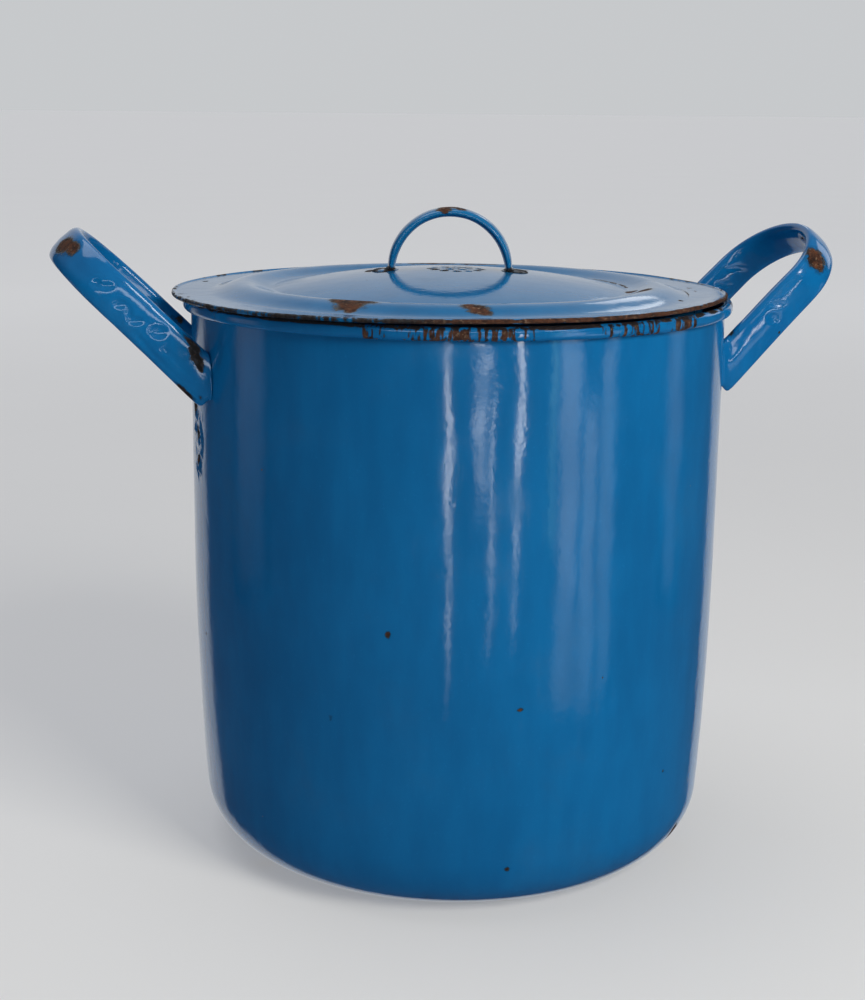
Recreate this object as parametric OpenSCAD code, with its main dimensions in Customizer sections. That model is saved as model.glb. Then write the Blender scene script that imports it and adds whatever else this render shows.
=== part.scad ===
// Enamelled steel stock pot with a loose lid.
// Origin: centre of the base, on the surface the pot stands on. +Z is up, and
// the two side handles point along +X and -X. All sizes are in millimetres.

/* [Body] */
// Outer diameter of the straight wall
body_d = 280; // [240:1:320]
// Height of the rolled rim above the table
pot_h = 296; // [250:1:340]
// Sheet thickness of the wall, enamel included
wall_t = 1.2; // [0.8:0.1:2]
// Sheet thickness of the floor, enamel included
floor_t = 1.4; // [0.8:0.1:2.4]
// Radius of the drawn corner between floor and wall
corner_r = 35; // [24:1:42]
// How much smaller the radius of the wall gets towards the floor
wall_taper = 7; // [0:0.5:10]
// Height up to which the wall tapers
taper_h = 170; // [120:5:200]

/* [Rolled rim] */
// Height of the rolled bead
bead_h = 6.8; // [5.6:0.1:9]
// Width of the rolled bead, from the inside of the wall outwards
bead_w = 5.2; // [4.6:0.1:5.6]
// Diameter of the steel wire that the rim is rolled round
wire_d = 3; // [2:0.1:3.2]

/* [Side handles] */
// Height at which a handle's middle line meets the wall
handle_z = 261; // [225:1:270]
// Rise of the loops above the horizontal, in degrees
handle_rise = 45.8; // [35:0.2:55]
// Reach of the loop's middle line from the wall, along its slope
handle_reach = 88; // [75:1:100]
// Distance between the middle lines of the two legs
handle_span = 82; // [74:1:92]
// Bend radius of the loop's middle line
handle_bend = 32; // [20:1:36]
// Width of the flattened tube
tube_w = 21.4; // [16:0.2:24]
// Thickness of the flattened tube
tube_t = 7.4; // [6:0.2:9]
// Sheet thickness of the tube
tube_sheet = 1; // [0.8:0.1:1.6]
// Diameter of the vent on the underside of each leg
tube_vent_d = 4; // [3:0.1:5]
// Angle by which each handle is welded on behind the X axis
handle_skew = 2.8; // [0:0.1:4]
// Width of the weld pad under each leg
pad_w = 20; // [12:1:26]
// Height of the weld pad under each leg
pad_h = 34; // [24:1:40]
// Thickness of the weld pad
pad_t = 1.2; // [0.8:0.1:2]

/* [Lid] */
// Outer diameter of the lid
lid_d = 291; // [284:1:300]
// Sheet thickness of the lid, enamel included
lid_t = 1.6; // [1:0.1:2]
// Thickness of the lid's folded edge
lid_edge_t = 2.2; // [2:0.1:3]
// Radius at which the pressed ridge starts from the flat flange
ridge_base_r = 127; // [122:1:132]
// Radius of the ridge's crest
ridge_crest_r = 108; // [102:1:114]
// Height of the ridge's crest above the flange
ridge_crest_h = 4.6; // [2:0.1:8]
// Radius of the valley between the ridge and the dome
valley_r = 93; // [84:1:98]
// Height of the valley above the flange
valley_h = 1.4; // [0:0.1:3]
// Height of the dome's top above the flange
dome_h = 11.8; // [6:0.1:24]
// How far the loose lid lies off centre, towards +X
lid_shift = -4.2; // [-4.5:0.1:4.5]
// How far the lid is turned on the pot, in degrees
lid_turn = -14; // [-180:1:180]
// Outer diameter of the locating collar under the lid
collar_d = 265; // [258:1:266]
// Depth of the locating collar
collar_h = 10; // [6:1:20]
// Sheet thickness of the locating collar
collar_t = 1.2; // [0.8:0.1:2]

/* [Steam vents] */
// Diameter of one vent hole
vent_d = 3.4; // [2:0.1:4]
// Distance between neighbouring rings of holes
vent_pitch = 6.5; // [5:0.5:8]
// Number of rings round the middle hole
vent_rings = 2; // [1:1:3]
// How far the holes were punched off the middle of the lid
vent_shift = 3.5; // [-4:0.5:4]

/* [Lid handle] */
// How far the handle was welded off the middle of the lid
grip_shift = 4; // [-4:0.5:4]
// Outer radius of the arched handle
arch_r = 33.2; // [28:0.2:40]
// Width of the strap
strap_w = 18; // [8:0.5:20]
// Thickness of the strap
strap_t = 5.0; // [4:0.1:7]
// Length of the flat foot at each end of the strap
foot_l = 10; // [6:0.5:14]
// Thickness of the flat foot
foot_t = 1.2; // [0.8:0.1:2]

/* [Hidden] */
$fn = 96;

enamel_blue = [0.05, 0.38, 0.66];
bare_steel = [0.45, 0.42, 0.40];

body_r = body_d / 2;
bead_r = bead_w / 2;
bead_ring_r = body_r - wall_t + bead_r;
bead_mid_z = pot_h - bead_h / 2;
bead_ends = bead_h / 2 - bead_r;

// Clearances: parts that rest on each other, and parts that are welded together.
rest_gap = 0.3;
weld_gap = 0.02;
wire_gap = 0.05;

lid_under = pot_h + rest_gap;
flange_top = lid_under + lid_t;
lid_r = lid_d / 2;
edge_r = lid_edge_t / 2;
arch_mid_r = arch_r - strap_t / 2;

// Share of the dome's fall that is straight, as on a cone; the rest grows with the cube of the radius.
dome_cone = 0.45;

// Legs are cut to the wall, and closed flat over this length above it.
leg_overrun = 20;
foot_solid = 6;
vent_reach = 14;
section_steps = 10;

// Angle of the corner arc where it runs into the tapered wall.
corner_sweep = 86.3;
corner_steps = 18;
taper_steps = 14;
dome_steps = 22;
ridge_steps = 9;
edge_steps = 14;

// Outer radius of the wall at height z.
function wall_r(z) = z >= taper_h ? body_r : body_r - wall_taper * pow(1 - z / taper_h, 2);

corner_top_z = corner_r * (1 - cos(corner_sweep));
corner_mid_r = wall_r(corner_top_z) - corner_r * sin(corner_sweep);

// Outline of the drawn shell, set in from the outside by inset at the wall
// and by lift at the floor.
function shell_side(inset, lift) = concat(
    [for (i = [0 : corner_steps])
        let (a = corner_sweep * i / corner_steps)
        [corner_mid_r + (corner_r - inset) * sin(a),
         corner_r - (corner_r - (i == 0 ? lift : inset)) * cos(a)]],
    [for (i = [1 : taper_steps])
        let (z = corner_top_z + (taper_h - corner_top_z) * i / taper_steps)
        [wall_r(z) - inset, z]],
    [[body_r - inset, bead_mid_z]]
);

function reversed(list) = [for (i = [len(list) - 1 : -1 : 0]) list[i]];

module bead_section() {
    for (s = [-1, 1])
        translate([bead_ring_r, bead_mid_z + s * bead_ends])
            circle(r = bead_r);
    translate([bead_ring_r - bead_r, bead_mid_z - bead_ends])
        square([bead_w, 2 * bead_ends]);
}

module pot_body() {
    outer = shell_side(0, 0);
    inner = shell_side(wall_t, floor_t);
    color(enamel_blue)
        rotate_extrude()
            difference() {
                union() {
                    polygon(concat([[0, 0]], outer, reversed(inner), [[0, floor_t]]));
                    bead_section();
                }
                translate([bead_ring_r, bead_mid_z])
                    circle(d = wire_d);
            }
}

module rim_wire() {
    color(bare_steel)
        rotate_extrude()
            translate([bead_ring_r, bead_mid_z])
                circle(d = wire_d - 2 * wire_gap);
}

function arc_points(mid_y, r, from) = [for (i = [0 : section_steps])
    let (a = from + 180 * i / section_steps)
    [r * cos(a), mid_y + r * sin(a)]];

// Flattened tube section, long side along Y.
module tube_section(inset) {
    r = tube_t / 2 - inset;
    ends = tube_w / 2 - tube_t / 2;
    polygon(concat(arc_points(ends, r, 0), arc_points(-ends, r, 180)));
}

// The loop in its own plane: legs along +X, the crown at handle_reach.
module loop(inset, leg_start) {
    corner_x = handle_reach - handle_bend;
    corner_y = handle_span / 2 - handle_bend;
    for (s = [0, 1])
        mirror([0, s, 0]) {
            translate([leg_start, handle_span / 2, 0])
                rotate([90, 0, 90])
                    linear_extrude(corner_x - leg_start)
                        tube_section(inset);
            translate([corner_x, corner_y, 0])
                rotate_extrude(angle = 90)
                    translate([handle_bend, 0])
                        tube_section(inset);
        }
    translate([handle_reach, corner_y, 0])
        rotate([90, 0, 0])
            linear_extrude(2 * corner_y)
                tube_section(inset);
}

// Curved pad that lies on the wall under one leg.
module weld_pad() {
    leg_angle = asin(handle_span / 2 / body_r);
    half_angle = pad_w / 2 / body_r * 180 / PI;
    drop = (body_r - sqrt(pow(body_r, 2) - pow(handle_span / 2, 2))) * tan(handle_rise);
    rotate([0, 0, leg_angle - half_angle])
        rotate_extrude(angle = 2 * half_angle)
            translate([body_r + weld_gap, handle_z - drop - pad_h / 2])
                square([pad_t, pad_h]);
}

// The loop where it stands on the wall.
module placed_loop(inset, leg_start) {
    translate([body_r, 0, handle_z])
        rotate([0, -handle_rise, 0])
            loop(inset, leg_start);
}

// Vent that lets the firing gases out of the tube, on the underside of each leg.
module tube_vents() {
    translate([body_r, 0, handle_z])
        rotate([0, -handle_rise, 0])
            for (s = [-1, 1])
                translate([vent_reach, s * handle_span / 2, -tube_t])
                    cylinder(d = tube_vent_d, h = tube_t);
}

module side_handle() {
    color(enamel_blue)
        difference() {
            union() {
                placed_loop(0, -leg_overrun);
                for (s = [0, 1])
                    mirror([0, s, 0])
                        weld_pad();
            }
            placed_loop(tube_sheet, foot_solid);
            tube_vents();
            cylinder(r = body_r + weld_gap, h = 2 * pot_h, center = true);
        }
}

module side_handle_right() {
    rotate([0, 0, handle_skew])
        side_handle();
}

module side_handle_left() {
    mirror([1, 0, 0])
        side_handle_right();
}

// Height of the lid's top face above the flange at radius r.
function dome_fall(x) = dome_cone * x + (1 - dome_cone) * pow(x, 3);
function dome_rise(r) = dome_h - (dome_h - valley_h) * dome_fall(r / valley_r);
function ease(t) = (1 - cos(180 * t)) / 2;

lid_top = concat(
    [for (i = [0 : dome_steps])
        let (r = valley_r * i / dome_steps)
        [r, dome_rise(r)]],
    [for (i = [1 : ridge_steps])
        let (t = i / ridge_steps)
        [valley_r + (ridge_crest_r - valley_r) * t,
         valley_h + (ridge_crest_h - valley_h) * ease(t)]],
    [for (i = [1 : ridge_steps])
        let (t = i / ridge_steps)
        [ridge_crest_r + (ridge_base_r - ridge_crest_r) * t,
         ridge_crest_h * (1 - ease(t))]]
);
lid_bottom = [for (p = lid_top) [p[0], p[1] - lid_t]];

// Folded edge, from where the flange runs into it round to its underside.
edge_start = 180 - asin(lid_t / edge_r - 1);
lid_edge = [for (i = [0 : edge_steps])
    let (a = edge_start - (edge_start + 90) * i / edge_steps)
    [lid_r + edge_r * (cos(a) - 1), edge_r * (1 + sin(a)) - lid_t]];

// Everything on the lid is made about the lid's own axis and placed here.
module on_lid() {
    translate([lid_shift, 0, flange_top])
        rotate([0, 0, lid_turn])
            children();
}

module vent_holes() {
    cylinder(d = vent_d, h = 4 * lid_t, center = true, $fn = 32);
    for (ring = [1 : vent_rings])
        for (i = [0 : 6 * ring - 1])
            rotate([0, 0, 360 * i / (6 * ring)])
                translate([ring * vent_pitch, 0, 0])
                    cylinder(d = vent_d, h = 6 * lid_t, center = true, $fn = 32);
}

module lid_pan() {
    color(enamel_blue)
        on_lid()
            difference() {
                rotate_extrude()
                    polygon(concat(lid_top, lid_edge, reversed(lid_bottom)));
                translate([vent_shift, 0, dome_h - lid_t])
                    vent_holes();
            }
}

module lid_collar() {
    color(enamel_blue)
        on_lid()
            rotate_extrude()
                translate([collar_d / 2 - collar_t, -lid_t - weld_gap - collar_h])
                    square([collar_t, collar_h]);
}

module strap_section() {
    r = strap_t / 2;
    ends = strap_w / 2 - r;
    for (s = [-1, 1])
        translate([arch_mid_r, s * ends])
            circle(r = r);
    translate([arch_mid_r - r, -ends])
        square([strap_t, 2 * ends]);
}

// Half ring of strap that stands on the dome, with a foot turned out at each end.
module lid_handle() {
    foot_z = dome_rise(arch_r - strap_t) + weld_gap;
    foot_mid_r = arch_mid_r + foot_l / 2;
    foot_slope = atan((dome_rise(arch_r) - dome_rise(arch_r + foot_l)) / foot_l);
    color(enamel_blue)
        on_lid() {
            translate([0, grip_shift, foot_z])
                rotate([90, 0, 0])
                    rotate_extrude(angle = 180)
                        strap_section();
            for (s = [0, 1])
                mirror([s, 0, 0])
                    translate([foot_mid_r, grip_shift, dome_rise(foot_mid_r) + foot_t / 2 + 2 * weld_gap])
                        rotate([0, foot_slope, 0])
                            cube([foot_l, strap_w, foot_t], center = true);
        }
}

pot_body();
rim_wire();
side_handle_right();
side_handle_left();
lid_pan();
lid_collar();
lid_handle();
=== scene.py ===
import math

import bpy
import numpy as np
from mathutils import Matrix, Vector


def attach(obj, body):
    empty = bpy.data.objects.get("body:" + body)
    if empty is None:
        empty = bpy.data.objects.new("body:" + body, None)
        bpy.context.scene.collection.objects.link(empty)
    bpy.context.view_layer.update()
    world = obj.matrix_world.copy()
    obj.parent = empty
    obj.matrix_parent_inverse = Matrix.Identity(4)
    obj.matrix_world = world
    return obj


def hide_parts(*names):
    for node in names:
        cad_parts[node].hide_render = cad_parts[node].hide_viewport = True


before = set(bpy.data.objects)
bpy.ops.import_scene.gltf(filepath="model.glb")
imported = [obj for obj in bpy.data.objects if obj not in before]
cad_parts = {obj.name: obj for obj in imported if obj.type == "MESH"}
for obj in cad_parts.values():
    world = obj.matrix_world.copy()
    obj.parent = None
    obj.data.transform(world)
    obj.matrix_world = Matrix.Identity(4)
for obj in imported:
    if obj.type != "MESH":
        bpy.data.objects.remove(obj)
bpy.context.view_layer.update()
MM = 0.001

# ---------------------------------------------------------------- sizes, in mm
# The pot: wall, corner, taper of the lower wall, and the bead rolled round the rim.
BODY_R = 140.0
WALL_T = 1.2
FLOOR_T = 1.4
CORNER_R = 35.0
CORNER_SWEEP = 86.3
TAPER = 7.0
TAPER_H = 170.0
BEAD_R, HEM_R = 2.6, 1.55
BEAD_RING = BODY_R - WALL_T + BEAD_R
BEAD_LOW, BEAD_HIGH = 291.8, 293.4

# The lid: how it lies on the pot, its edge and flange, then dome, valley and ridge from the middle out.
LID_X = -4.2
LID_TURN = math.radians(-14)
VENT_SHIFT, GRIP_SHIFT = 3.5, 4.0
VENT_R, VENT_PITCH = 1.7, 6.5
FLANGE_TOP = 297.9
LID_T = 1.6
LID_R = 145.5
EDGE_R = 1.1
DOME_H, VALLEY_R, VALLEY_H, DOME_CONE = 11.8, 93.0, 1.4, 0.45
CREST_R, CREST_H, BASE_R = 108.0, 4.6, 127.0

# The side handles: slope of the loop, and how far askew it is welded on.
RISE = math.radians(45.8)
SKEW = math.radians(2.8)

# Points round each turned piece.
SEGMENTS = 720


# ------------------------------------------------------------------- tools
def wobble(points, wavelength, seed, stretch=(1, 1, 1), waves=14):
    """Smooth noise from -1 to 1 as a sum of seeded waves; points and wavelength in mm."""
    rng = np.random.default_rng(seed)
    total = np.zeros(len(points))
    p = points / np.array(stretch, float)
    for _ in range(waves):
        d = rng.normal(size=3)
        d /= np.linalg.norm(d)
        k = 2 * math.pi / (wavelength * rng.uniform(0.7, 1.5))
        total += np.sin(p @ d * k + rng.uniform(0, 2 * math.pi))
    return np.clip(total / math.sqrt(waves) / 1.2, -1.6, 1.6)


def smooth(x, a, b):
    t = np.clip((x - a) / (b - a), 0, 1)
    return t * t * (3 - 2 * t)


def put(mesh, name, values):
    layer = mesh.attributes.get(name) or mesh.attributes.new(name, "FLOAT", "POINT")
    layer.data.foreach_set("value", np.asarray(values, np.float32))


def make_mesh(name, points, faces, wear=None):
    """points in mm, in the row frame."""
    mesh = bpy.data.meshes.new(name)
    mesh.from_pydata((np.asarray(points) * MM).tolist(), [], faces)
    mesh.polygons.foreach_set("use_smooth", [True] * len(mesh.polygons))
    if wear is not None:
        put(mesh, "wear", wear)
    mesh.update()
    obj = bpy.data.objects.new(name, mesh)
    bpy.context.scene.collection.objects.link(obj)
    return obj


def lathe(outline, segments):
    """Turns an (r, z) outline about Z. Returns the points, the faces and each point's angle."""
    outline = np.asarray(outline, float)
    on_axis = outline[:, 0] < 1e-6
    theta = np.arange(segments) * 2 * math.pi / segments
    points, faces, angle, starts = [], [], [], []
    for (r, z), single in zip(outline, on_axis):
        starts.append(len(points))
        if single:
            points.append((0, 0, z))
            angle.append(0.0)
        else:
            points.extend(zip(r * np.cos(theta), r * np.sin(theta), [z] * segments))
            angle.extend(theta)
    for i in range(len(outline) - 1):
        a, b = starts[i], starts[i + 1]
        for j in range(segments):
            k = (j + 1) % segments
            if on_axis[i]:
                faces.append((a, b + k, b + j))
            elif on_axis[i + 1]:
                faces.append((a + j, a + k, b))
            else:
                faces.append((a + j, a + k, b + k, b + j))
    return np.array(points), faces, np.array(angle)


def arc(cx, cz, r, start, end, steps):
    a = np.radians(np.linspace(start, end, steps + 1))
    return [(cx + r * math.cos(t), cz + r * math.sin(t)) for t in a]


def rounded_ring(a, b, count, power_a, power_b):
    """Points round a section with half sizes a and b; powers below 1 square it off."""
    ring = []
    for t in np.linspace(0, 2 * math.pi, count, endpoint=False):
        c, s = math.cos(t), math.sin(t)
        ring.append((math.copysign(abs(c) ** power_a, c) * a, math.copysign(abs(s) ** power_b, s) * b))
    return ring


def tube_faces(rings, count):
    """Quads from each ring of count points to the next, with both ends closed."""
    faces = []
    for i in range(rings - 1):
        for j in range(count):
            k = (j + 1) % count
            faces.append((i * count + j, i * count + k, (i + 1) * count + k, (i + 1) * count + j))
    faces.append(tuple(range(count))[::-1])
    faces.append(tuple((rings - 1) * count + j for j in range(count)))
    return faces


def tangents(path):
    steps = np.gradient(path, axis=0)
    return steps / np.linalg.norm(steps, axis=1)[:, None]


def turned(points, angle):
    """The points turned about Z."""
    x, y, z = points.T
    c, s = math.cos(angle), math.sin(angle)
    return np.stack([x * c - y * s, x * s + y * c, z], 1)


def push_out(mesh, points, amount):
    """Moves each point along its normal, in mm, and returns the moved points."""
    normal = np.zeros(len(points) * 3)
    mesh.vertices.foreach_get("normal", normal)
    moved = points + normal.reshape(-1, 3) * amount[:, None]
    mesh.vertices.foreach_set("co", (moved * MM).ravel())
    mesh.update()
    return moved


def round_off(obj):
    smoother = obj.modifiers.new("smooth", "SUBSURF")
    smoother.levels = smoother.render_levels = 1


def marks_field(points, marks):
    """Greatest of 1 - distance / radius over the marks (centre, radii), from -1 up to 1."""
    field = np.full(len(points), -1.0)
    for centre, radii in marks:
        d = (points - np.array(centre)) / np.array(radii)
        field = np.maximum(field, 1 - np.sqrt((d * d).sum(1)))
    return field


def polar_marks(r, azimuth, marks):
    """As marks_field, with each mark given as (radius, azimuth, radial half, tangential half)."""
    field = np.full(len(r), -1.0)
    for r0, a0, dr, dt in marks:
        across = np.radians(angle_gap(azimuth, a0)) * r0
        field = np.maximum(field, 1 - np.sqrt(((r - r0) / dr) ** 2 + (across / dt) ** 2))
    return field


def on_wall(azimuth, z, r=BODY_R):
    a = math.radians(azimuth)
    return (r * math.cos(a), r * math.sin(a), z)


def angle_gap(a, b):
    return (a - b + 180) % 360 - 180


# ---------------------------------------------------------------- materials
# Places of the Mix node's two values and of its result, for each kind of value.
MIX_SOCKETS = {"FLOAT": (2, 3, 0), "RGBA": (6, 7, 2)}
# Noise drawn out into upright hairs and teeth, and into faint runs.
HAIRS, RUNS = (1, 1, 0.12), (1, 1, 0.25)


class Graph:
    """Adds nodes to one tree. A value is a number, a colour or another node's output."""

    def __init__(self, owner, empty=True):
        owner.use_nodes = True
        self.tree = owner.node_tree
        if empty:
            self.tree.nodes.clear()

    def feed(self, value, socket):
        if isinstance(value, bpy.types.NodeSocket):
            self.tree.links.new(value, socket)
        elif socket.type == "RGBA":
            socket.default_value = (*value, 1)
        else:
            socket.default_value = value

    def fill(self, node, **values):
        """Names in lower case are the node's own settings; the others are its sockets."""
        for key, value in values.items():
            if key[0].islower():
                setattr(node, key, value)
            else:
                self.feed(value, node.inputs[key.replace("_", " ")])
        return node

    def node(self, kind, **values):
        return self.fill(self.tree.nodes.new("ShaderNode" + kind), **values)

    def maths(self, operation, a, b):
        n = self.node("Math", operation=operation)
        self.feed(a, n.inputs[0])
        self.feed(b, n.inputs[1])
        return n.outputs[0]

    def add(self, a, b):
        return self.maths("ADD", a, b)

    def times(self, a, b):
        return self.maths("MULTIPLY", a, b)

    def swing(self, value, middle, amount):
        """How far the value is from its middle, scaled."""
        return self.times(self.maths("SUBTRACT", value, middle), amount)

    def ramp(self, value, low, high, to_low=0.0, to_high=1.0):
        return self.node("MapRange", interpolation_type="SMOOTHSTEP", Value=value, From_Min=low,
                         From_Max=high, To_Min=to_low, To_Max=to_high).outputs[0]

    def mix(self, factor, a, b, kind="RGBA"):
        n = self.node("Mix", data_type=kind)
        first, second, result = MIX_SOCKETS[kind]
        for place, value in ((0, factor), (first, a), (second, b)):
            self.feed(value, n.inputs[place])
        return n.outputs[result]

    def noise(self, coord, scale, detail=3.0, rough=0.5, stretch=None):
        if stretch:
            coord = self.node("Mapping", Vector=coord, Scale=stretch).outputs[0]
        return self.node("TexNoise", Vector=coord, Scale=scale, Detail=detail, Roughness=rough).outputs[0]


def enamel(name, blue, deep, grime=0.0):
    """Glossy vitreous enamel over a dark ground coat, rusted where the chips reach the steel."""
    mat = bpy.data.materials.new(name)
    g = Graph(mat)
    coord = g.node("TexCoord").outputs["Object"]
    wear, comb, soot_and_shade = [g.node("Attribute", attribute_name=layer).outputs["Fac"]
                        for layer in ("wear", "comb", "soot_and_shade")]

    def grain(size, detail=3.0, rough=0.5, stretch=None):
        """Noise with grains of about size metres."""
        return g.noise(coord, 1 / size, detail, rough, stretch)

    # Edge of each chip broken up at two sizes, and into teeth as far as comb says.
    broken = g.add(g.swing(grain(0.006, 4), 0.5, 1.1), g.swing(grain(0.0018, 3), 0.5, 0.5))
    teeth = g.swing(grain(0.0019, 2, 0.5, HAIRS), 0.53, 5.5)
    field = g.add(g.add(wear, broken), g.times(comb, teeth))
    chip = g.ramp(field, 0.02, 0.09)
    rust = g.ramp(field, 0.16, 0.34)

    # Pits: rare dark specks.
    cells = g.node("TexVoronoi", Scale=95.0, Randomness=1.0, Vector=coord)
    pick = g.node("SeparateColor", Color=cells.outputs["Color"])
    rare = g.ramp(pick.outputs[0], 0.955, 0.96)
    size = g.add(g.times(pick.outputs[1], 0.09), 0.02)
    speck = g.times(rare, g.maths("LESS_THAN", cells.outputs["Distance"], size))
    chip_all = g.maths("MAXIMUM", chip, speck)

    # Enamel colour: deep and thin places, faint runs, fine mottling, grease film.
    tone = g.add(g.times(grain(0.09, 3, 0.55), 0.55), g.times(grain(0.012, 4, 0.6, RUNS), 0.45))
    colour = g.mix(g.ramp(tone, 0.34, 0.68), deep, blue)
    fleck = g.ramp(grain(0.0016, 2), 0.62, 0.78)
    colour = g.mix(g.times(fleck, 0.16), colour, tuple(min(1, c * 1.5 + 0.01) for c in blue))
    film = g.ramp(grain(0.045, 5, 0.65), 0.5, 0.75)
    colour = g.mix(g.times(film, 0.10 + grime), colour, (0.016, 0.045, 0.075))
    # Dark halo where the enamel thins round a chip.
    halo = g.times(g.ramp(field, -0.28, 0.04), 0.55)
    colour = g.mix(halo, colour, (0.004, 0.028, 0.07))

    # In a chip: black ground coat at its edge, rust with pale grains further in, near black as far as
    # soot_and_shade says: burnt, and painted shade on the top of the roll.
    black = g.mix(g.ramp(grain(0.003, 3), 0.4, 0.7), (0.008, 0.009, 0.012), (0.035, 0.03, 0.03))
    brown = g.mix(g.ramp(grain(0.004, 5, 0.65), 0.36, 0.62), (0.017, 0.006, 0.003), (0.088, 0.029, 0.011))
    brown = g.mix(g.ramp(grain(0.0017, 3, 0.6), 0.57, 0.66), brown, (0.17, 0.10, 0.06))
    blackened = g.mix(g.ramp(grain(0.0014, 3, 0.6), 0.55, 0.72), (0.006, 0.005, 0.006), (0.045, 0.026, 0.018))
    colour = g.mix(chip_all, colour, g.mix(soot_and_shade, g.mix(rust, black, brown), blackened))

    # Gloss: fine hairline wear, a dull film, and matt rust.
    hair = g.ramp(grain(0.0022, 2, 0.5, HAIRS), 0.60, 0.74)
    glazed = g.add(g.add(0.10, g.times(film, 0.10)), g.times(hair, 0.07))
    rough = g.mix(chip_all, glazed, g.add(0.45, g.times(rust, 0.50)), "FLOAT")

    # Relief: orange peel in the enamel, sunken rough chips.
    peel = g.add(g.times(grain(0.010, 2), 0.06), g.times(grain(0.0030, 2), 0.045))
    sunken = g.add(g.times(chip_all, -0.30), g.times(g.times(grain(0.0012, 4, 0.7), chip_all), 0.55))
    bump = g.node("Bump", Strength=1.0, Distance=0.001, Height=g.add(peel, sunken))

    shader = g.node("BsdfPrincipled", IOR=1.52, Base_Color=colour, Roughness=rough, Normal=bump.outputs[0])
    g.node("OutputMaterial", Surface=shader.outputs[0])
    return mat


def steel(name):
    """Bare drawn wire, dull in patches."""
    mat = bpy.data.materials.new(name)
    g = Graph(mat, empty=False)
    patches = g.noise(g.node("TexCoord").outputs["Object"], 240, 4)
    colours = g.node("ValToRGB", Fac=patches)
    dull, bright = colours.color_ramp.elements
    dull.position, bright.position = 0.35, 0.65
    dull.color, bright.color = (0.10, 0.055, 0.035, 1), (0.42, 0.39, 0.36, 1)
    bump = g.node("Bump", Distance=0.0001, Height=patches)
    g.fill(g.tree.nodes["Principled BSDF"], Base_Color=colours.outputs[0], Metallic=0.85, Roughness=0.45,
           Normal=bump.outputs[0])
    return mat


body_mat = enamel("body_enamel", (0.003, 0.128, 0.345), (0.002, 0.100, 0.280))
handle_mat = enamel("handle_enamel", (0.003, 0.135, 0.365), (0.002, 0.105, 0.30))
lid_mat = enamel("lid_enamel", (0.004, 0.138, 0.34), (0.003, 0.112, 0.285), grime=0.05)

# ---------------------------------------------------------------- pot body
# Chips along the rolled rim: azimuth, half width in degrees, depth.
BEAD_CHIPS = [
    (-102, 14.0, 1.0), (-75.4, 2.0, 0.7), (-67.5, 5.6, 0.85), (-54.5, 4.8, 0.9), (-120, 3.0, 0.65),
    (-158.5, 1.2, 0.8), (-20, 9, 0.7), (24, 6, 0.8), (61, 14, 0.9), (97, 7, 0.6), (128, 12, 0.9),
    (163, 5, 0.7),
]


def wall_r(z):
    return BODY_R if z >= TAPER_H else BODY_R - TAPER * (1 - z / TAPER_H) ** 2


def shell_outline():
    top = CORNER_R * (1 - math.cos(math.radians(CORNER_SWEEP)))
    mid_r = wall_r(top) - CORNER_R * math.sin(math.radians(CORNER_SWEEP))
    outer = [(r, 0.0) for r in (0, 15, 30, 45, 60, 75, 88, 96)]
    sweep = np.linspace(0, math.radians(CORNER_SWEEP), 29)
    outer += [(mid_r + CORNER_R * math.sin(a), CORNER_R * (1 - math.cos(a))) for a in sweep]
    heights = np.linspace(top, 288.4, 104)[1:]
    outer += [(wall_r(z), z) for z in heights]
    # Wall runs up inside the roll, over the wire and back down outside it.
    hem = [(BODY_R, 289.6), (BODY_R, 292.0), (BODY_R, BEAD_HIGH)]
    hem += arc(BEAD_RING, BEAD_HIGH, HEM_R, 155, 0, 8)
    hem += arc(BEAD_RING, BEAD_LOW, HEM_R, 0, -115, 7)
    hem += arc(BEAD_RING, BEAD_LOW, BEAD_R, -122, 0, 10)
    hem += arc(BEAD_RING, BEAD_HIGH, BEAD_R, 0, 180, 16)
    inner = [(wall_r(z) - WALL_T, z) for z in np.linspace(291.0, top, 52)]
    thin = CORNER_R - WALL_T
    inner += [(mid_r + thin * math.sin(a), CORNER_R - thin * math.cos(a)) for a in sweep[::-1][1:-1]]
    inner += [(r, FLOOR_T) for r in (98, 88, 75, 60, 45, 30, 15, 0)]
    return outer + hem + inner


def bead_chips(azimuth):
    """How far the chips along the rolled rim have got, by angle."""
    worn = np.full(len(azimuth), -1.0)
    for centre, half, amount in BEAD_CHIPS:
        worn = np.maximum(worn, amount * (1 - (angle_gap(azimuth, centre) / half) ** 2))
    return worn


points, faces, angle = lathe(shell_outline(), SEGMENTS)
azimuth = np.degrees(angle)
z = points[:, 2]
r = np.hypot(points[:, 0], points[:, 1])
out = np.stack([np.cos(angle), np.sin(angle), np.zeros_like(angle)], 1)
mantle = smooth(z, 4, 40) * (1 - smooth(z, 282, 290))
low = 1 - smooth(z, 60, 190)
push = mantle * (0.22 * wobble(points, 120, 1) + 0.07 * wobble(points, 34, 2, (1, 1, 1.8))
                 + (0.010 + 0.012 * low) * wobble(points, 11, 3))
# Blisters under the left handle.
blister = marks_field(points, [(on_wall(-174, 224), (9, 12, 24))])
push += smooth(blister, 0.0, 0.35) * np.clip(wobble(points, 5.5, 4), -0.35, 1)
points += out * push[:, None]

bead = (z > 289.0) & (r > 139.2)
chipped = bead_chips(azimuth)
stripes = chipped + 0.45 * wobble(points, 6, 5, (1, 1, 6)) - 0.50
wear = np.where(bead, np.clip(stripes, -1, 0.5), -1.0)
comb = np.where(bead, smooth(chipped, -0.2, 0.4), 0.0)
# Chips on the roll go partly black, blacker towards its top, where the black is painted shade of the gap
# under the lid's edge.
soot_and_shade = np.where(bead, 0.35 + 0.6 * smooth(z, 293.8, 294.8), 0.0)
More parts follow.
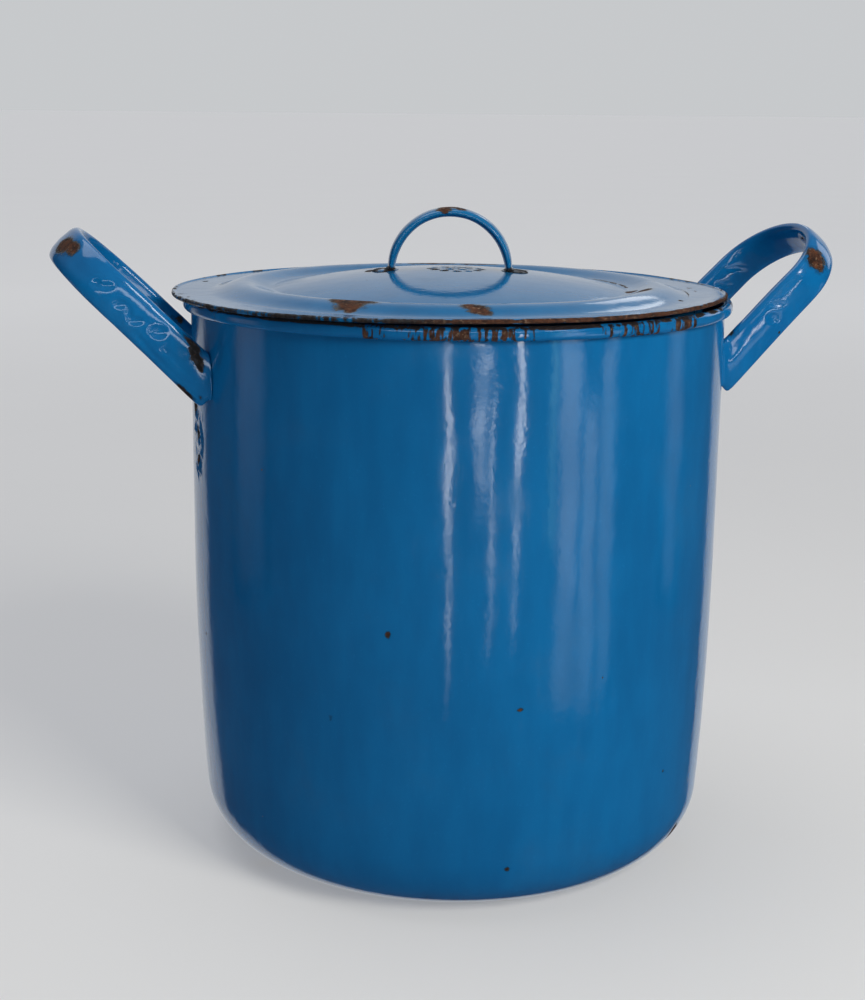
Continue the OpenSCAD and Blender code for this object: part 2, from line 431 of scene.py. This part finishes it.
# Dark chips over the top of the roll: the lid's seat rubs it, and the dark there is also painted shade of
# the gap under the lid's edge; fewer towards the right end.
seat_rub_and_gap_shade = 0.95 * smooth(z, 294.3, 295.2) + 0.4 * wobble(points, 9, 6) - 0.30
seat_rub_and_gap_shade -= 0.9 * np.exp(-(angle_gap(azimuth, -22) / 22) ** 2)
wear = np.maximum(wear, np.where(z > 294.2, seat_rub_and_gap_shade, -1))
body_marks = [
    (on_wall(-116.7, 149), (1.5, 1.5, 1.9)), (on_wall(-129.1, 103.4), (1.8, 1.8, 1.5)),
    (on_wall(-90.5, 112.3), (1.8, 1.8, 1.3)), (on_wall(-92.1, 29.1, 134), (1.7, 1.7, 1.6)),
    (on_wall(-87.8, 0.6, 104), (7, 6, 3.2)), (on_wall(-40.9, 18, 130), (5, 5, 9)),
    (on_wall(-30, 9, 120), (6, 6, 5)), (on_wall(20, 12, 124), (5, 7, 5)),
    (on_wall(95, 3, 110), (9, 6, 4)), (on_wall(150, 14, 127), (5, 5, 6)),
    (on_wall(-160, 6, 116), (5, 6, 4)), (on_wall(118, 190), (3, 3, 5)), (on_wall(70, 90), (2.4, 2.4, 3)),
    (on_wall(-176.5, 243), (4.5, 5, 7)), (on_wall(-174.5, 228), (3, 3.4, 4)),
    (on_wall(-173.8, 214), (2.4, 2.6, 3)),
]
wear = np.maximum(wear, marks_field(points, body_marks))
# Rust round the flat of the base, where it stands.
ring = 1 - np.abs(r - 104) / 6 + 0.9 * wobble(points, 14, 7) - 0.75
wear = np.maximum(wear, np.where((z < 1.2) & (r < 112), ring, -1))
# Chips are sunk into the sheet.
sink = np.clip(wear, 0, 1) ** 0.6 * 0.22
points -= out * np.where(r > 100, sink, 0.0)[:, None]
shell = make_mesh("pot_shell", points, faces, wear)
put(shell.data, "comb", comb)
blackened = smooth(marks_field(points, [(on_wall(-175.5, 236), (14, 16, 24))]), 0.0, 0.3)
put(shell.data, "soot_and_shade", np.maximum(soot_and_shade, blackened))
shell.data.materials.append(body_mat)
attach(shell, "pot")
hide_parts("pot_body")

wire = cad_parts["rim_wire"]
wire.data.materials.clear()
wire.data.materials.append(steel("rim_steel"))


# -------------------------------------------------------------- side handles
# The loop's own axes: out along its legs, sideways, and square to its plane.
LEG_WAY = np.array([math.cos(RISE), 0, math.sin(RISE)])
SIDE_WAY = np.array([0, 1.0, 0])
FACE_WAY = np.array([-math.sin(RISE), 0, math.cos(RISE)])
HANDLE_O = np.array([139.5, 0, 261.6])
# How far the loop reaches, its half width at the foot and at the crown, and the crown's depth.
LOOP_REACH, LOOP_FOOT, LOOP_TOP, LOOP_BEND = 87.7, 42.2, 41.5, 32.3
# The tube flattens and bows down towards the crown, in full at this distance.
LOOP_FULL, BOW, RING_STEP = 88.0, 2.2, 1.2
TUBE_A, TUBE_B, TUBE_POINTS = 3.75, 11.1, 60
# Rings of the plain tube left off at each end, where the foot takes over.
FOOT_RINGS = 21
# The foot, from the tube down to the wall: height over the wall, spread, share it grows wider by.
FOOT_STEPS = [
    (9.0, 0.0, 0.0), (5.0, 0.15, 0.001), (3.0, 0.7, 0.005), (1.9, 1.9, 0.012), (1.35, 3.6, 0.022),
    (1.15, 5.2, 0.032), (0.9, 5.8, 0.038), (0.3, 6.0, 0.040), (-0.1, 5.9, 0.038),
]


def loop_path():
    """Middle line of the loop in its own plane, from one leg's foot over the crown to the other's."""
    straight = LOOP_REACH - LOOP_BEND
    leg = [(u, LOOP_FOOT + (LOOP_TOP - LOOP_FOOT) * u / straight)
           for u in np.linspace(0, straight, 58)[:-1]]
    crown = [(straight + LOOP_BEND * math.sin(a), LOOP_TOP * math.cos(a))
             for a in np.linspace(0, math.pi, 115)]
    return np.array([(u, -v) for u, v in leg + crown] + leg[::-1])


def tube_ring(a, b):
    """Flattened tube: half thickness a, half width b, with round edges."""
    return rounded_ring(a, b, TUBE_POINTS, 0.74, 0.97)


def wall_point(v, n, height):
    """Point on the line along the leg at (v, n) that is height above the wall."""
    base = HANDLE_O + SIDE_WAY * v + FACE_WAY * n
    square = LEG_WAY[0] ** 2 + LEG_WAY[1] ** 2
    half = base[0] * LEG_WAY[0] + base[1] * LEG_WAY[1]
    rest = base[0] ** 2 + base[1] ** 2 - (BODY_R + height) ** 2
    t = (-half + math.sqrt(max(half * half - square * rest, 0))) / square
    return base + LEG_WAY * t


def foot_rings(way, flare_out):
    """The tube spreads into a thin flange that lies on the wall; way is -1 or 1, the leg's side."""
    rings = []
    for height, spread, wider in FOOT_STEPS:
        # The lower corner of the foot is rounded off.
        tuck = 1 - 0.6 * smooth(5.5 - height, 0, 5.5)
        ring = []
        for x, y in tube_ring(TUBE_A, TUBE_B):
            amount = spread * (flare_out if x > 0 else 0.45) * (abs(x) / TUBE_A)
            v = way * (LOOP_FOOT + (x + math.copysign(amount, x)))
            ring.append(wall_point(v, (y * tuck if y < 0 else y) * (1 + wider), height))
        rings.append(ring)
    return rings


def side_handle(name, mirrored, dents, marks, flare_out, seed):
    path = loop_path()
    share = np.clip(path[:, 0] / LOOP_FULL, 0, 1)
    rings = []
    for (u, v), (du, dv), part in zip(path, tangents(path), share):
        bow = -BOW * part ** 2
        rings.append([HANDLE_O + LEG_WAY * (u + dv * x) + SIDE_WAY * (v - du * x) + FACE_WAY * (y + bow)
                      for x, y in tube_ring(TUBE_A - 0.1 * part, TUBE_B - 0.8 * part)])
    rings = foot_rings(-1, flare_out)[::-1] + rings[FOOT_RINGS:-FOOT_RINGS] + foot_rings(1, flare_out)
    faces = tube_faces(len(rings), TUBE_POINTS)
    # Turn with the weld's skew, and mirror the left one.
    pts = turned(np.array([p for ring in rings for p in ring]), SKEW)
    if mirrored:
        pts[:, 0] *= -1
    else:
        faces = [f[::-1] for f in faces]
    wear = marks_field(pts, marks)
    obj = make_mesh(name, pts, faces, wear)
    # Waves along the tube, dents, and chips sunk into it; the feet keep their shape.
    free = smooth(np.hypot(pts[:, 0], pts[:, 1]), 143, 150)
    section = tube_ring(TUBE_A, TUBE_B)
    along = np.array([(i * RING_STEP, x, y) for i in range(len(rings)) for x, y in section])
    push = free * (0.08 * wobble(pts, 40, seed) + 0.025 * wobble(pts, 11, seed + 1)
                   + 0.07 * wobble(along, 7, seed + 2, (8, 1, 1)))
    for centre, radii, depth in dents:
        d = (pts - np.array(centre)) / np.array(radii)
        push -= depth * np.exp(-(d * d).sum(1) ** 2)
    push -= free * np.clip(wear, 0, 1) ** 0.6 * 0.15
    pts = push_out(obj.data, pts, push)
    # The feet are burnt black by the weld.
    put(obj.data, "soot_and_shade", 1 - smooth(np.abs(pts[:, 0]), 146, 152))
    round_off(obj)
    obj.data.materials.append(handle_mat)
    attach(obj, "pot")
    return obj


# Dents: centre, radii, depth. Marks: centre, radii.
RIGHT_DENTS = [
    ((164, -38, 284.5), (3.4, 6, 2.6), 1.0), ((140.5, -38.5, 270), (2.4, 6, 6.5), 1.2),
    ((166, -37.4, 292), (4, 6, 1.4), 0.6), ((197, 3, 322.8), (4, 3, 4), 0.8),
    ((176, 45, 303), (6, 6, 1.6), 0.5), ((170, 46, 294), (5, 6, 1.5), 0.5),
    ((148, -37, 258), (3, 6, 3), 0.5),
]
LEFT_DENTS = [
    ((-154, -38, 274.5), (4.6, 6, 1.6), 1.0), ((-152, -38, 268), (1.8, 6, 5), 0.9),
    ((-157, -38, 270), (1.6, 6, 4), 0.7), ((-160, -38, 283.5), (4.2, 6, 3), 1.1),
    ((-171, -37, 289), (3.6, 6, 2), 1.0), ((-174, -37, 293), (1.6, 6, 3), 0.8),
    ((-178, -36.6, 297), (3.6, 6, 2), 0.8), ((-184, -35, 306), (3, 6, 1.6), 0.8),
    ((-189, -34, 307), (2.4, 6, 2), 0.7), ((-197, 12, 322), (6, 6, 5), 0.5),
]
# A shallow groove of small dents runs slantwise down the near leg.
LEFT_DENTS += [((-171.8 + 2 * i, -36.7, 283.2 - 2.35 * i), (1.5, 6, 1.5), 0.3 + 0.1 * (i % 3))
               for i in range(9)]
RIGHT_MARKS = [
    ((190, -31, 314.5), (7, 8, 7.6)), ((197.4, 3, 322.8), (1.6, 3.4, 1.6)), ((141, -38, 278), (3, 5, 3.4)),
    ((141, -34, 254), (4, 4, 3)), ((158, 43, 296), (2, 3, 1.4)), ((143, 47, 279), (4, 5, 3)),
    ((174, -36, 275), (2, 4, 1)),
]
LEFT_MARKS = [
    ((-203, -8, 323.6), (5.2, 8.5, 5.6)), ((-199, -15, 323), (3.6, 6, 4.8)), ((-206, 14, 319), (3, 8, 3)),
    ((-146.5, -37, 281.8), (2.2, 4, 1.8)), ((-144.2, -38.1, 277.3), (2.8, 4, 3.0)),
    ((-142, -38.6, 273.5), (3.2, 4, 3.2)), ((-140.5, -39.1, 269), (3.0, 4, 3.2)),
    ((-139.4, -39.6, 265), (1.6, 4, 2.6)), ((-143, -38, 249.5), (4, 6, 2)),
    ((-157, -38, 262), (5, 6, 1.0)), ((-144, 47, 279), (4, 5, 3)),
]
right = side_handle("handle_right", False, RIGHT_DENTS, RIGHT_MARKS, 0.35, 21)
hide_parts("side_handle_right")
left = side_handle("handle_left", True, LEFT_DENTS, LEFT_MARKS, 0.05, 31)
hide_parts("side_handle_left")


# ---------------------------------------------------------------------- lid
def lid_rise(q):
    if q <= VALLEY_R:
        x = q / VALLEY_R
        return DOME_H - (DOME_H - VALLEY_H) * (DOME_CONE * x + (1 - DOME_CONE) * x ** 3)
    if q <= CREST_R:
        t = (q - VALLEY_R) / (CREST_R - VALLEY_R)
        return VALLEY_H + (CREST_H - VALLEY_H) * (1 - math.cos(math.pi * t)) / 2
    if q <= BASE_R:
        t = (q - CREST_R) / (BASE_R - CREST_R)
        return CREST_H * (1 + math.cos(math.pi * t)) / 2
    return 0.0


def vent_centres(x, y):
    """One vent, six round it and twelve round those, about the point VENT_SHIFT from (x, y)."""
    x, y = x + VENT_SHIFT * math.cos(LID_TURN), y + VENT_SHIFT * math.sin(LID_TURN)
    for ring in range(3):
        count = max(1, 6 * ring)
        for i in range(count):
            a = LID_TURN + 2 * math.pi * i / count
            yield x + VENT_PITCH * ring * math.cos(a), y + VENT_PITCH * ring * math.sin(a)


# Marks on the lid: radius, azimuth, radial half, tangential half.
LID_MARKS = [
    (110.5, -128.2, 4.6, 13), (114, -128, 6.5, 8), (119, -126.4, 4.5, 3.4), (111.5, -99, 4.4, 4.8),
    (114.6, -96.9, 6, 5.6), (118.4, -95.8, 4, 4), (95, -23.5, 3.6, 5.5), (103.5, -31, 4.4, 9),
    (132, -3.5, 1.6, 2.6), (131.4, -10.2, 1.3, 1.8), (124.4, -34.2, 1.4, 2.2), (141.2, -179.5, 2.2, 1.4),
    (139, -173.4, 1.6, 1.8), (142.5, -167, 2.6, 1.2), (137, 153, 1.6, 3.4), (43, 157, 2.6, 9),
    (36, 172, 3, 6), (45, 19, 2.4, 9), (38, 4, 3, 6), (144.6, 127, 1.9, 4.6), (144.6, 139, 1.6, 3),
    (118, 32, 3, 6), (104, -160, 2, 3),
]

lid_radii = [*np.linspace(0, 20, 15), *np.linspace(20, 90, 36)[1:], *np.linspace(90, 128, 40)[1:]]
lid_radii += [131, 134, 137, 140, 142]
start = 180 - math.degrees(math.asin(LID_T / EDGE_R - 1))
top = [(q, FLANGE_TOP + lid_rise(q)) for q in lid_radii]
edge = arc(LID_R - EDGE_R, FLANGE_TOP + EDGE_R - LID_T, EDGE_R, start, -90, 14)
outline = top + edge + [(q, h - LID_T) for q, h in top[::-1]]
points, faces, angle = lathe(outline, SEGMENTS)
faces = [f[::-1] for f in faces]
r = np.hypot(points[:, 0], points[:, 1])
z = points[:, 2]
azimuth = np.degrees(angle)
points[:, 2] += smooth(r, 20, 60) * (1 - smooth(r, 138, 144)) * (
    0.10 * wobble(points, 60, 41, (1, 1, 9)) + 0.025 * wobble(points, 16, 42, (1, 1, 9)))
# The flange waves a little, and its edge is nibbled away.
points[:, 2] += smooth(r, 128, 145) * 0.12 * (1 + wobble(points, 70, 43, (1, 1, 9)))
# It stands off the roll where it has been bent up, at the front and the front right.
points[:, 2] += smooth(r, 130, 145) * (1.5 * np.exp(-(angle_gap(azimuth, -38) / 26) ** 2)
                                       + 1.2 * np.exp(-(angle_gap(azimuth, -95) / 32) ** 2))
rusty = smooth(-np.abs(angle_gap(azimuth, -62)), -58, -30)
rim = 1 - (LID_R - r) / (1.5 + 0.2 * rusty + (0.9 + 0.3 * rusty) * wobble(points, 11, 44, (1, 1, 9)))
rim = rim + 0.45 * wobble(points, 4.5, 45, (1, 1, 4)) + 0.05
behind = smooth(np.sin(angle), 0.1, 0.4)
rim -= 0.75 * behind * (1 - smooth(wobble(points, 40, 46, (1, 1, 9)), 0.1, 0.5))
wear = np.where(r > 137, np.clip(rim, -1, 0.16 + 0.7 * rusty), -1.0)
wear = np.maximum(wear, polar_marks(r, azimuth, LID_MARKS))
for x, y in vent_centres(0, 0):
    wear = np.maximum(wear, 0.9 - np.hypot(points[:, 0] - x, points[:, 1] - y) / 2.9)
# Thin worn lines: along the valley behind the dome, the foot of the ridge and its far crest.
for r0, a0, half, thick in ((94.6, 4, 17, 1.0), (125, -15, 11, 0.9), (106, 77, 17, 1.3)):
    line = 1 - np.abs(r - r0) / thick - (angle_gap(azimuth, a0) / half) ** 4 + 0.25 * wobble(points, 5, 47)
    wear = np.maximum(wear, np.clip(line, -1, 0.2))
points[:, 0] += LID_X
nibble = np.clip(wear, 0, 1) * smooth(r, 142, 145) * 0.5
out = np.stack([np.cos(angle), np.sin(angle), np.zeros_like(angle)], 1)
points -= out * nibble[:, None]
points[:, 2] -= np.where(r < 141, np.clip(wear, 0, 1) ** 0.6 * 0.2, 0)
lid = make_mesh("lid_shell", points, faces, wear)
soot_and_shade = np.where(r > 136, 0.92 - 0.72 * rusty, 0.0)
# Rust round each vent and under the grip's feet is almost black.
put(lid.data, "soot_and_shade", np.maximum(soot_and_shade, 1 - smooth(r, 30, 60)))
put(lid.data, "comb", np.where(r > 143, 0.14, 0.0))

# Steam vents, cut right through.
rods, rod_faces = [], []
ROD_POINTS = 24
for x, y in vent_centres(LID_X, 0):
    base = len(rods)
    for h in (FLANGE_TOP + 4, FLANGE_TOP + 18):
        rods += [(x + px, y + py, h) for px, py in rounded_ring(VENT_R, VENT_R, ROD_POINTS, 1, 1)]
    rod_faces += [tuple(base + v for v in face) for face in tube_faces(2, ROD_POINTS)]
cutter = make_mesh("vent_cutter", rods, rod_faces)
cut = lid.modifiers.new("vents", "BOOLEAN")
cut.operation, cut.solver, cut.object = "DIFFERENCE", "EXACT", cutter
dg = bpy.context.evaluated_depsgraph_get()
cut_mesh = bpy.data.meshes.new_from_object(lid.evaluated_get(dg))
lid.modifiers.clear()
lid.data = cut_mesh
bpy.data.objects.remove(cutter)
lid.data.materials.clear()
lid.data.materials.append(lid_mat)
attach(lid, "lid")
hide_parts("lid_pan")

# Locating collar under the flange, with a rounded lower edge.
COLLAR_OUT, COLLAR_IN = 132.5, 131.3
COLLAR_HEIGHTS = [296.25, 292, 288.2]
collar_outline = [(COLLAR_OUT, h) for h in COLLAR_HEIGHTS]
collar_outline += arc((COLLAR_OUT + COLLAR_IN) / 2, 286.9, (COLLAR_OUT - COLLAR_IN) / 2, 0, -180, 8)
collar_outline += [(COLLAR_IN, h) for h in COLLAR_HEIGHTS[::-1]] + collar_outline[:1]
points, faces, angle = lathe(collar_outline, SEGMENTS // 2)
faces = [f[::-1] for f in faces]
wear = 1 - (points[:, 2] - 286.3) / 2.2 + 0.8 * wobble(points, 12, 51) - 0.55
points[:, 0] += LID_X
collar = make_mesh("lid_collar_ring", points, faces, np.clip(wear, -1, 1))
collar.data.materials.append(lid_mat)
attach(collar, "lid")
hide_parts("lid_collar")


# ---------------------------------------------------------------- lid grip
def foot_plate(side, count=48, steps=7):
    """Thin rounded plate that follows the dome under one leg, in the lid's own frame."""
    pts, faces = [], []
    for upper in (True, False):
        for k in range(steps + 1):
            share = k / steps
            over = 0.75 * math.sqrt(1 - share ** 6) + 0.12 if upper else 0.02
            for px, py in rounded_ring(7.2 * share, 9.6 * share, count, 0.8, 0.8):
                x, y = side * (34.2 + px), GRIP_SHIFT + py
                pts.append((x, y, FLANGE_TOP + lid_rise(math.hypot(x, y)) + over))
    half = (steps + 1) * count
    rim = steps * count
    for j in range(count):
        m = (j + 1) % count
        for start in (0, half):
            for k in range(steps):
                a, b = start + k * count, start + (k + 1) * count
                quad = [a + j, b + j, b + m, a + m]
                faces.append(quad[::-1] if (start > 0) != (side < 0) else quad)
        quad = [rim + j, half + rim + j, half + rim + m, rim + m]
        faces.append(quad[::-1] if side < 0 else quad)
    return pts, faces


def grip():
    mid, low = 31.0, 307.5
    top = low + 33.8
    bottom = FLANGE_TOP + lid_rise(mid) + 0.2
    half = [(mid * math.cos(a), low + mid * math.sin(a)) for a in np.radians(np.linspace(90, 4, 40))]
    half += [(mid + 0.1, low + 1.0), (mid + 0.2, bottom + 0.9), (mid + 0.35, bottom + 0.3),
             (mid + 0.4, bottom)]
    half = np.array(half)
    path = np.concatenate([half[::-1] * [-1, 1], half[1:]])
    count = 32
    pts = []
    for (x, z), (dx, dz) in zip(path, tangents(path)):
        # The strap thins towards its foot, then spreads into the plate.
        height = z - bottom
        thin = max(0.0, 1 - height / 13)
        t_half = 2.55 - 0.8 * thin ** 1.5 + 1.3 * max(0.0, 1 - height / 1.3) ** 2
        pts += [(x + dz * a, GRIP_SHIFT + b, z - dx * a)
                for a, b in rounded_ring(t_half, 8.7 + 0.3 * thin, count, 0.85, 0.85)]
    faces = tube_faces(len(path), count)
    for side in (-1, 1):
        plate, quads = foot_plate(side)
        faces += [tuple(v + len(pts) for v in quad) for quad in quads]
        pts += plate
    pts = np.array(pts)
    # Keep the legs' ends on the dome.
    dome = np.array([FLANGE_TOP + lid_rise(math.hypot(x, y)) + 0.02 for x, y, _ in pts])
    pts[:, 2] = np.maximum(pts[:, 2], dome)
    wear = marks_field(pts, [
        ((-3, 4, top), (9.5, 7, 1.4)), ((-3.5, -3, top - 0.8), (5, 3.4, 1.8)),
        ((-3, -5.5, top - 2.4), (2.2, 1.6, 1.6)), ((7, -1, top - 0.7), (4.5, 4, 1.2)),
        ((38, 4, low - 0.6), (7, 11, 2.4)), ((-39, 4, low - 0.6), (6, 11, 2.4)),
        ((31, 0, low + 0.6), (3.4, 8, 2.4)), ((-32, 0, low + 0.6), (3.2, 8, 2.4)),
        ((-34, 1, low + 4), (1.4, 4, 3))])
    pts = turned(pts, LID_TURN) + [LID_X, 0, 0]
    obj = make_mesh("lid_grip", pts, faces, wear)
    put(obj.data, "soot_and_shade", 1 - smooth(pts[:, 2], low + 4, low + 10))
    push = 0.07 * wobble(pts, 15, 61) - np.clip(wear, 0, 1) * 0.15
    push_out(obj.data, pts, push * smooth(pts[:, 2], low + 3, low + 8))
    round_off(obj)
    obj.data.materials.append(lid_mat)
    return obj


grip_obj = grip()
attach(grip_obj, "lid")
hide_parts("lid_handle")


# ---------------------------------------------------------------- the stage
def pale_sheet(name, colour):
    """Matt sheet, faintly mottled, that glows a little far out, where the lamps no longer reach."""
    mat = bpy.data.materials.new(name)
    g = Graph(mat, empty=False)
    coord = g.node("TexCoord").outputs["Object"]
    mottled = g.mix(g.noise(coord, 3, 4), colour, tuple(c * 0.94 for c in colour))
    distance = g.node("VectorMath", operation="LENGTH", Vector=coord).outputs["Value"]
    g.fill(g.tree.nodes["Principled BSDF"], Base_Color=mottled, Roughness=0.9, Specular_IOR_Level=0.1,
           Emission_Color=(0.97, 0.98, 1), Emission_Strength=g.ramp(distance, 0.3, 3.0, 0.30, 0.50))
    return mat


def plane(name, corners, mat):
    mesh = bpy.data.meshes.new(name)
    mesh.from_pydata(corners, [], [tuple(range(len(corners)))])
    obj = bpy.data.objects.new(name, mesh)
    bpy.context.scene.collection.objects.link(obj)
    mesh.materials.append(mat)
    return obj


FLOOR_HALF = 60
floor_corners = [(FLOOR_HALF * x, FLOOR_HALF * y, 0) for x, y in ((-1, -1), (1, -1), (1, 1), (-1, 1))]
floor = plane("floor", floor_corners, pale_sheet("floor_pale", (0.46, 0.45, 0.45)))
floor.visible_glossy = False

# The camera: where it is, in metres, and its own three directions.
CAM_AT = Vector((-0.22599, -0.90465, 0.39456))
CAM_RIGHT = Vector((0.97369, -0.22766, 0.00994))
CAM_UP = Vector((0.04076, 0.21693, 0.97534))
CAM_LOOK = Vector((0.22420, 0.94927, -0.22050))
cam_data = bpy.data.cameras.new("camera")
cam_data.lens = 63.36
cam_data.sensor_width = 36
camera = bpy.data.objects.new("camera", cam_data)
bpy.context.scene.collection.objects.link(camera)
camera.matrix_world = Matrix((CAM_RIGHT, CAM_UP, -CAM_LOOK)).transposed().to_4x4()
camera.matrix_world.translation = CAM_AT
bpy.context.scene.camera = camera


def area(name, at, target, size, power, colour=(1, 1, 1)):
    data = bpy.data.lights.new(name, "AREA")
    data.shape = "RECTANGLE"
    data.size, data.size_y = size
    data.energy = power
    data.color = colour
    obj = bpy.data.objects.new(name, data)
    bpy.context.scene.collection.objects.link(obj)
    obj.location = at
    obj.rotation_mode = "QUATERNION"
    obj.rotation_quaternion = (Vector(target) - Vector(at)).to_track_quat("-Z", "Y")
    return obj


def panel(name, corners, strength, colour=(1, 1, 1), soft=0.25, fade_low=1.0, ragged=0.0, seed=0.0):
    """Bright panel with soft edges, seen by gloss only. Corners run round from low left."""
    mat = bpy.data.materials.new(name)
    g = Graph(mat)
    across, up = g.node("SeparateXYZ", Vector=g.node("TexCoord").outputs["UV"]).outputs[:2]

    def along(scale, offset):
        """Noise that changes only up the panel."""
        place = g.add(up, offset)
        return g.node("TexNoise", noise_dimensions="1D", Scale=scale, Detail=2, W=place).outputs[0]

    u = g.add(across, g.swing(along(7.0, seed), 0.5, ragged))
    edge = g.times(g.ramp(u, 0.0, soft), g.ramp(u, 1.0, 1.0 - soft))
    ends = g.times(g.ramp(up, 0.0, 0.12), g.ramp(up, 1.0, 0.9))
    fall = g.times(ends, g.ramp(up, 0.0, 1.0, fade_low, 1.0))
    fall = g.times(fall, g.ramp(along(5.0, seed + 9), 0.22, 0.70, 1 - min(1.0, 1.6 * ragged), 1.0))
    glow = g.node("Emission", Color=colour, Strength=g.times(g.times(edge, fall), float(strength)))
    g.node("OutputMaterial", Surface=glow.outputs[0])
    obj = plane(name, corners, mat)
    uv = obj.data.uv_layers.new(name="UVMap")
    for i, c in enumerate(((0, 0), (1, 0), (1, 1), (0, 1))):
        uv.data[i].uv = c
    obj.visible_camera = obj.visible_diffuse = obj.visible_shadow = False
    return obj


def upright(x0, y0, x1, y1, low, high):
    """Corners of an upright panel over the line from (x0, y0) to (x1, y1)."""
    return [(x0, y0, low), (x1, y1, low), (x1, y1, high), (x0, y0, high)]


def card(name, wall_azimuth, distance, width, low, high, strength, **look):
    """Upright panel that the wall mirrors at wall_azimuth."""
    a = math.radians(wall_azimuth)
    at = Vector((BODY_R * MM * math.cos(a), BODY_R * MM * math.sin(a)))
    n = Vector((math.cos(a), math.sin(a)))
    d = (at - Vector((CAM_AT.x, CAM_AT.y))).normalized()
    d = d - 2 * d.dot(n) * n
    centre = at + d * distance
    side = Vector((-d.y, d.x)) * width / 2
    corners = upright(centre.x - side.x, centre.y - side.y, centre.x + side.x, centre.y + side.y, low, high)
    return panel(name, corners, strength, **look)


# Azimuth on the wall, distance, width, low, high, strength; metres but for the first and last.
card("streak_left", -105.1, 0.30, 0.012, -0.03, 0.255, 15, fade_low=0.10, soft=0.3, ragged=0.35, seed=1.0)
card("streak_mid", -97.0, 0.30, 0.013, 0.0, 0.225, 10, fade_low=0.15, soft=0.35, ragged=0.6, seed=2.0)
card("streak_blob", -99.3, 0.30, 0.050, 0.13, 0.262, 8, fade_low=0.3, soft=0.4, ragged=0.7, seed=3.0)
card("streak_right", -92.2, 0.32, 0.020, 0.02, 0.272, 14, fade_low=0.10, soft=0.35, ragged=0.4, seed=4.0)
card("window_left", -81.9, 0.40, 0.105, -0.08, 0.27, 2.5, fade_low=0.35, soft=0.3, ragged=0.15, seed=5.0,
     colour=(0.85, 0.93, 1))
card("window_mid", -77.4, 0.40, 0.09, -0.08, 0.205, 1.9, fade_low=0.4, soft=0.3, ragged=0.15, seed=9.0,
     colour=(0.82, 0.92, 1))
card("window_right", -73.2, 0.40, 0.09, -0.06, 0.27, 1.6, fade_low=0.4, soft=0.35, ragged=0.15, seed=6.0,
     colour=(0.8, 0.92, 1))
card("pane", -85.4, 0.40, 0.035, 0.08, 0.27, 2.4, fade_low=0.6, soft=0.4, ragged=0.3, seed=10.0,
     colour=(0.45, 0.95, 0.9))
card("side", -55, 0.50, 0.16, 0.0, 0.30, 0.8, fade_low=0.3, soft=0.45, ragged=0.2, seed=7.0,
     colour=(0.85, 0.93, 1))
card("left_haze", -149, 0.50, 0.24, 0.0, 0.28, 0.42, fade_low=0.2, soft=0.3, ragged=0.1, seed=8.0,
     colour=(1, 0.92, 0.95))
# Far window, mirrored by the right of the lid's ridge.
panel("far_window", [(0.495, 0.962, 0.62), (0.64, 0.885, 0.62), (0.585, 0.775, 0.93), (0.468, 0.842, 0.93)],
      2.0, soft=0.14)
# Lamps as the gloss sees them: a small bright one by the key, a long one in front, a soft one on the
# right and a slanting strip low in front.
panel("key_gloss", upright(0.62, -1.55, 0.9, -1.42, 1.0, 1.25), 14, soft=0.2)
panel("front_gloss", upright(-1.1, -1.2, 0.5, -1.5, 0.42, 0.62), 4.5, soft=0.1)
panel("side_gloss", upright(0.95, 0.15, 0.85, 0.55, 0.38, 0.75), 1.4, soft=0.3)
panel("low_gloss", [(0.47, -1.15, 0.15), (0.53, -1.15, 0.15), (0.80, -1.15, 0.45), (0.74, -1.15, 0.45)],
      14, soft=0.3)

key = area("key", (0.75, -1.5, 1.15), (0, 0, 0.2), (0.8, 0.9), 31, (1.0, 0.985, 0.89))
key.visible_glossy = False
area("top", (-0.4, 0.3, 2.0), (0, 0, 0.2), (1.4, 1.4), 13, (0.92, 0.96, 1.0))

world = bpy.data.worlds.new("studio")
bpy.context.scene.world = world
g = Graph(world)
toward = g.node("SeparateXYZ", Vector=g.node("TexCoord").outputs["Generated"])
east, north, up = toward.outputs
# Pale wall behind, dark room in front, dim ceiling, brown table low in front.
pale, dark = (0.57, 0.585, 0.60), (0.030, 0.034, 0.042)
ceiling, table = (0.17, 0.18, 0.20), (0.060, 0.043, 0.034)
above = g.mix(g.ramp(up, 0.15, 0.60), dark, ceiling)
front = g.mix(g.ramp(up, -0.35, -0.03), table, above)
behind = g.times(g.ramp(north, 0.58, 0.66), g.ramp(up, 0.88, 0.42))
behind = g.times(behind, g.ramp(east, -0.52, -0.44))
background = g.node("Background", Color=g.mix(behind, front, pale), Strength=1.0)
g.node("OutputWorld", Surface=background.outputs[0])
bpy.context.scene.view_settings.view_transform = "Standard"
